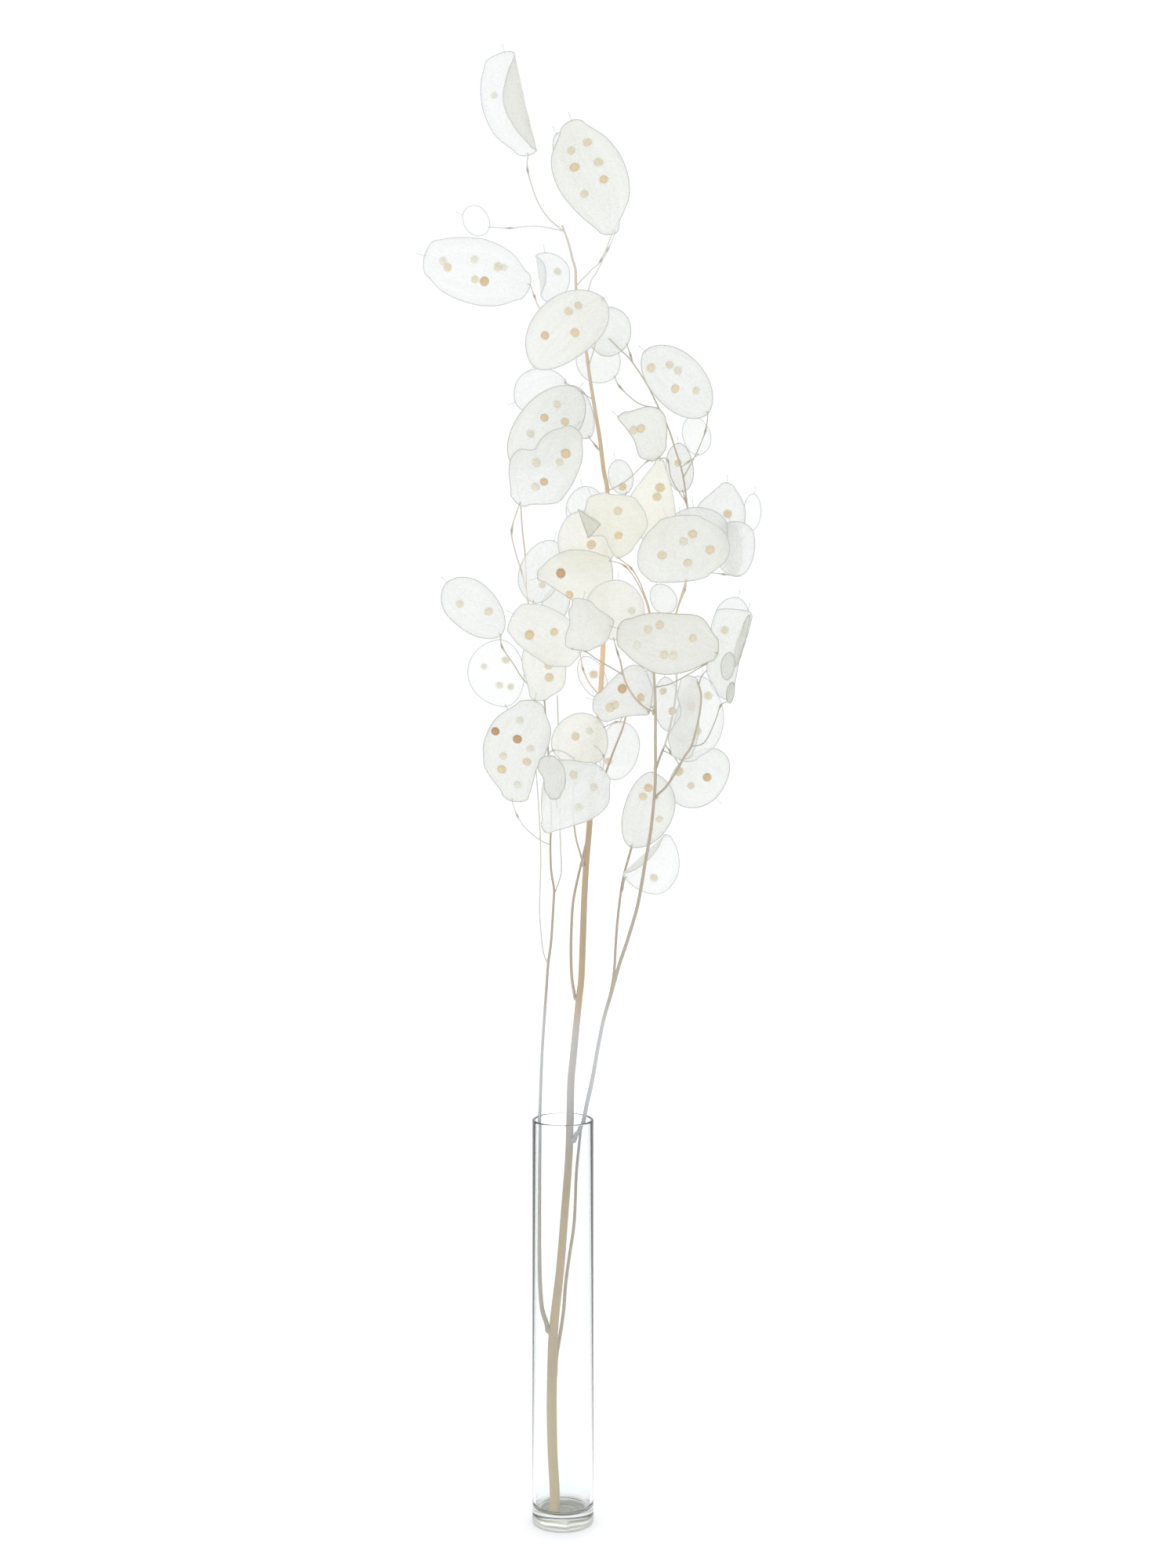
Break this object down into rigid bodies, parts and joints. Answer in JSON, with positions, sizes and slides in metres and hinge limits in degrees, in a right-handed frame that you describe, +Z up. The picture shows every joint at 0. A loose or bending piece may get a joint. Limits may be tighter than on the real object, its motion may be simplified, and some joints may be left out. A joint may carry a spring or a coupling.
{
  "type": "honesty seed pod stem",
  "caption": "Dried honesty stem with papery oval seed pods on branching sprays, standing in a slim clear glass cylinder vase.",
  "frame": {"origin": "centre of the vase's underside, z = 0 on the surface it stands on", "axes": "+Z up along the vase; +X to the right and +Y away from the viewer in the picture's view"},
  "size_m": [0.1711, 0.0791, 0.7242],
  "materials": {
    "glass": "gloss",
    "pods_and_stem": "matte"
  },
  "bodies": {
    "root": {"vase": "glass", "main_stem": "pods_and_stem", "left_spray": "pods_and_stem", "middle_spray": "pods_and_stem", "inner_spray": "pods_and_stem", "right_front_spray": "pods_and_stem", "right_low_spray": "pods_and_stem", "right_mid_spray": "pods_and_stem", "right_back_spray": "pods_and_stem"}
  },
  "joints": []
}
